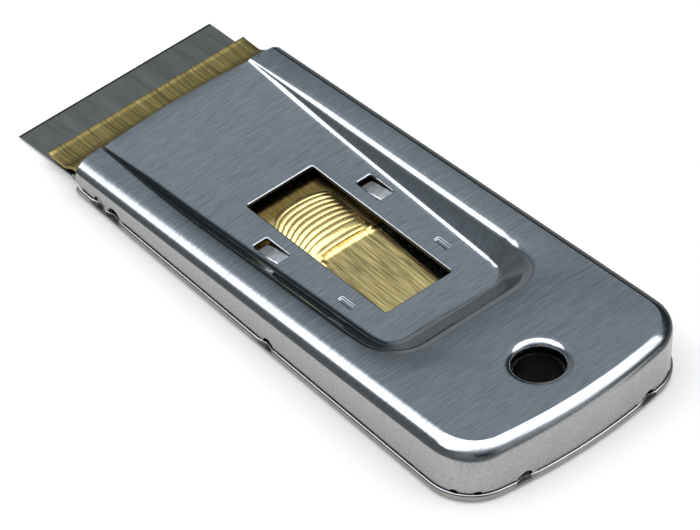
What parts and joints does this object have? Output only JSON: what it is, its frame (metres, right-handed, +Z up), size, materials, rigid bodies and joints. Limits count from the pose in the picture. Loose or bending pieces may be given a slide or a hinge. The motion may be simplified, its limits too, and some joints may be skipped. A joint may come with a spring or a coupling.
{
  "type": "razor blade scraper",
  "caption": "Pressed steel scraper handle with a hanging hole, and a brass holder with a ribbed thumb pad that slides a single-edge razor blade out at the front.",
  "frame": {"origin": "axis of the hanging hole at the underside of the tray", "axes": "+Y along the handle to the blade, +Z up through the thumb window side, +X to the right when looking at the blade from the handle"},
  "size_m": [0.0452, 0.106, 0.0108],
  "materials": {
    "shell_steel": "brushed across, plated",
    "tray_steel": "plated, bright cut edges",
    "brass_sheet": "satin rolled sheet",
    "brass_pad": "satin, worn bright on the ribs",
    "blade_steel": "ground and oiled",
    "spine_steel": "rolled"
  },
  "bodies": {
    "handle": {"top_shell": "shell_steel", "base_tray": "tray_steel", "hole_eyelet": "tray_steel"},
    "holder": {"blade_holder": "brass_sheet", "backing_plate": "brass_sheet"},
    "thumb": {"thumb_slide": "brass_pad"},
    "blade": {"razor_blade": "blade_steel", "blade_spine": "spine_steel"}
  },
  "joints": [
    {"name": "holder_slide", "type": "slide", "parent": "handle", "child": "holder", "axis": [0, 0.9988, -0.048], "range_m": [-0.017, 0]},
    {"name": "thumb_press", "type": "slide", "parent": "holder", "child": "thumb", "axis": [0, 0, -1], "range_m": [0, 0.0008], "stiffness_N_per_m": 800, "springref_m": -0.0004},
    {"name": "blade_release", "type": "slide", "parent": "holder", "child": "blade", "axis": [0, 0.9988, -0.048], "range_m": [0, 0.012]}
  ]
}
